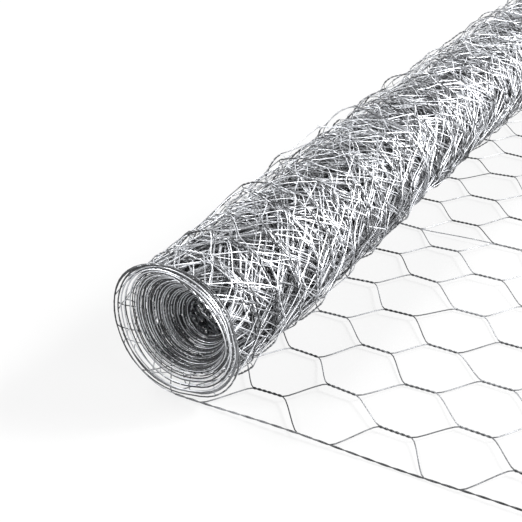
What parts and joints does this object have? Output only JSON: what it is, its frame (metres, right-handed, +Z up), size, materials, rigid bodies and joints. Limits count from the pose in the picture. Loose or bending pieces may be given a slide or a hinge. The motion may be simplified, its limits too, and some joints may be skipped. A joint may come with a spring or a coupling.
{
  "type": "roll of chicken wire",
  "caption": "Roll of galvanised hexagonal wire netting lying on its side, slightly telescoped, with its end pulled out as a flat sheet of open cells and a straight selvage along each edge.",
  "frame": {"origin": "centre of the footprint, on the floor that the roll and its unrolled end lie on", "axes": "+Z up, +Y along the roll from its hollow end to its nose, +X the way the netting unrolls"},
  "size_m": [0.3395, 0.9406, 0.0809],
  "materials": {
    "galvanised_wire": "zinc-coated drawn wire, satin grey with bright highlights"
  },
  "bodies": {
    "root": {"wound_roll": "galvanised_wire", "unrolled_sheet": "galvanised_wire"}
  },
  "joints": []
}
